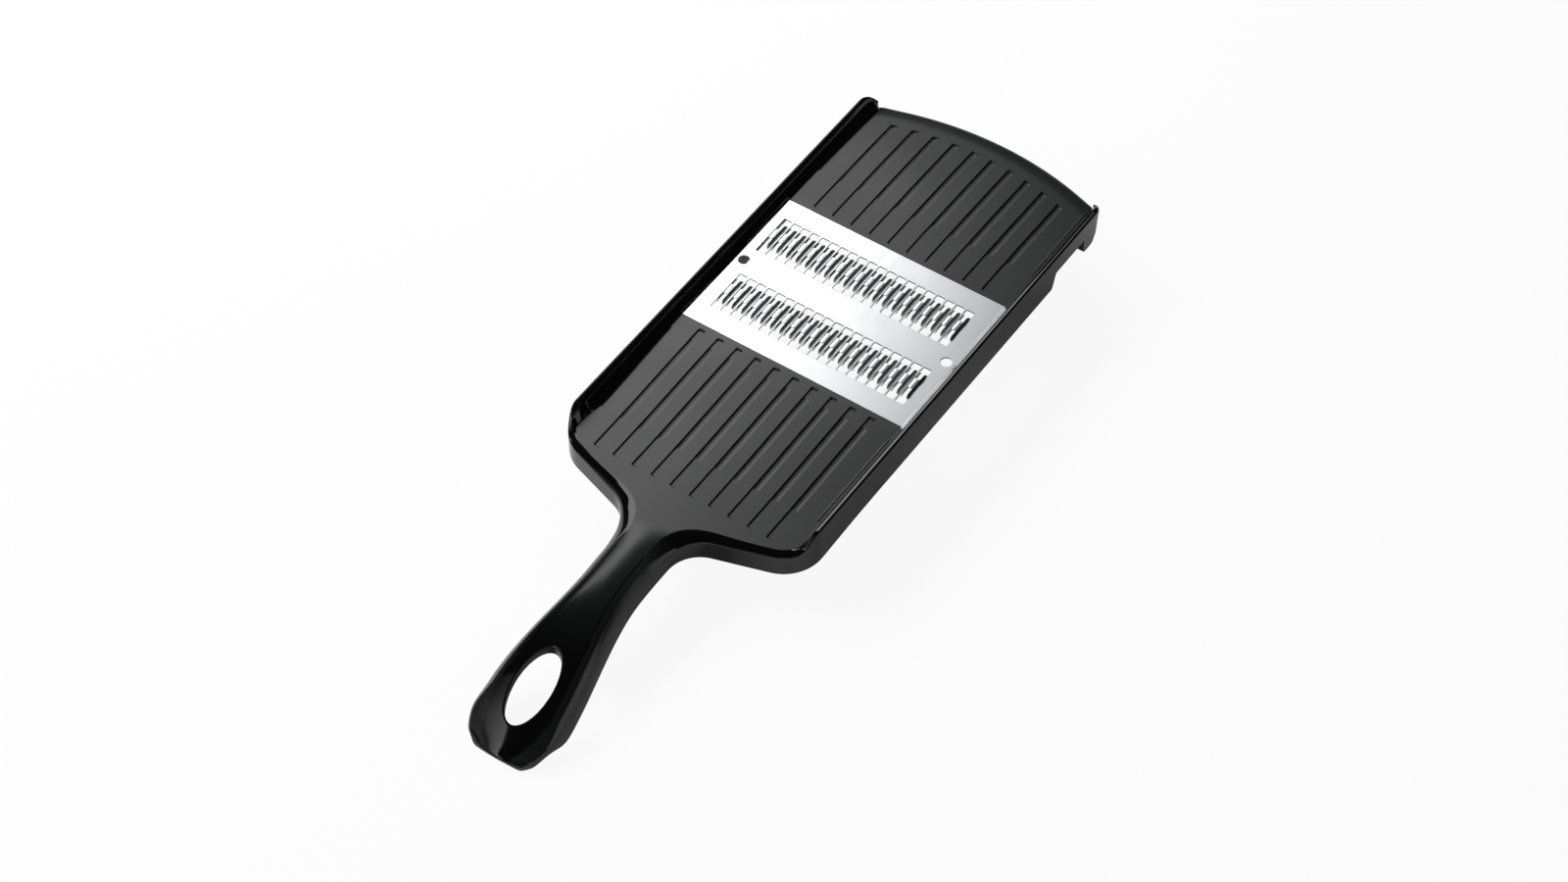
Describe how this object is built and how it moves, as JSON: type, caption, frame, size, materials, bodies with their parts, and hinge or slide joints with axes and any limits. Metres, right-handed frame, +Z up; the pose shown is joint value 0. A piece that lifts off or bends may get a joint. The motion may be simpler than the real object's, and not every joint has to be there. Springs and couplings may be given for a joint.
{
  "type": "mandoline slicer",
  "caption": "Hand-held julienne slicer: a black moulded body with side rails, a grooved deck, a drop handle with a hanging hole, and a stamped steel blade plate set flush in the deck.",
  "frame": {"origin": "bottom centre of the overall box", "axes": "+Y along the slicer from the handle to the far end of the deck, +Z up out of the deck's cutting side, +X to the right"},
  "size_m": [0.1104, 0.3345, 0.0409],
  "materials": {
    "body_plastic": "gloss on the rails and the handle, satin with a fine grain on the deck",
    "blade_steel": "cold-rolled satin, bright along the ground edges"
  },
  "bodies": {
    "root": {"moulded_body": "body_plastic", "blade_plate": "blade_steel"}
  },
  "joints": []
}
